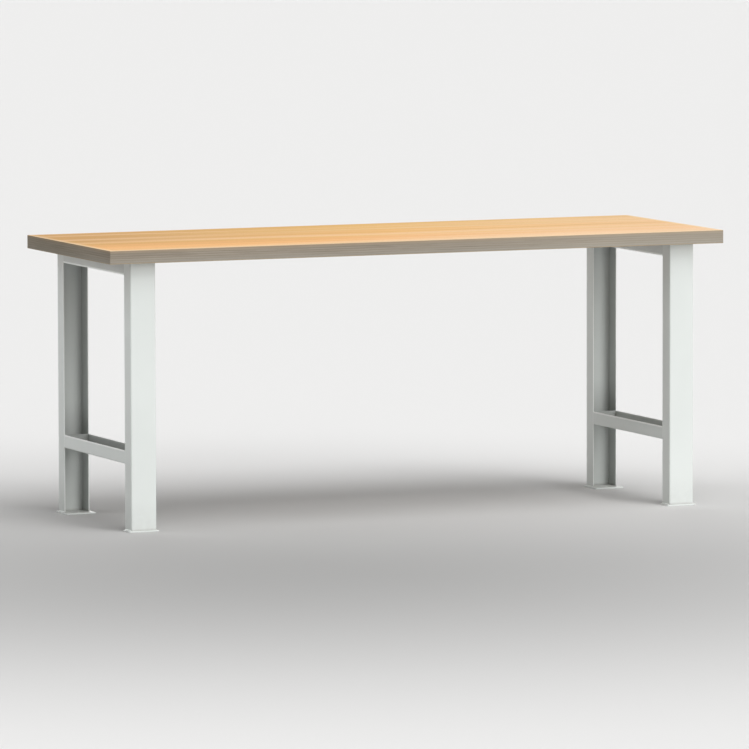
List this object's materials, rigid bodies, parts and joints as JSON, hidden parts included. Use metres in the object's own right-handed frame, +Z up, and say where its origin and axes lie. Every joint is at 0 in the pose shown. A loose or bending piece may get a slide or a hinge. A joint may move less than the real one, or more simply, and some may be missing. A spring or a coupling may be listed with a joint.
{
  "type": "workbench",
  "caption": "Long workbench with a thick plywood worktop on two separate side frames of folded steel sheet with foot plates.",
  "frame": {"origin": "on the floor, at the centre of the bench's footprint", "axes": "+X along the length of the worktop to the right, +Y from front to back, +Z up"},
  "size_m": [2, 0.7, 0.843],
  "materials": {
    "face_veneer": "clear lacquered beech with fine lengthwise grain",
    "long_ply": "cut edge of a lengthwise ply",
    "cross_ply": "cut edge of a crosswise ply",
    "back_veneer": "plain sanded beech",
    "coated_sheet": "light grey powder coat, satin",
    "coated_plate": "light grey powder coat, satin",
    "coated_weld": "light grey powder coat over a weld bead",
    "zinc_steel": "zinc plated"
  },
  "bodies": {
    "root": {"worktop_face_veneer": "face_veneer", "worktop_long_plies": "long_ply", "worktop_cross_plies": "cross_ply", "worktop_back_veneer": "back_veneer", "left_front_upright": "coated_sheet", "left_rear_upright": "coated_sheet", "left_crossbar": "coated_sheet", "left_stretcher": "coated_sheet", "left_front_foot_plate": "coated_plate", "left_rear_foot_plate": "coated_plate", "left_frame_welds": "coated_weld", "left_worktop_screws": "zinc_steel", "left_screw_washers": "zinc_steel", "right_front_upright": "coated_sheet", "right_rear_upright": "coated_sheet", "right_crossbar": "coated_sheet", "right_stretcher": "coated_sheet", "right_front_foot_plate": "coated_plate", "right_rear_foot_plate": "coated_plate", "right_frame_welds": "coated_weld", "right_worktop_screws": "zinc_steel", "right_screw_washers": "zinc_steel"}
  },
  "joints": []
}
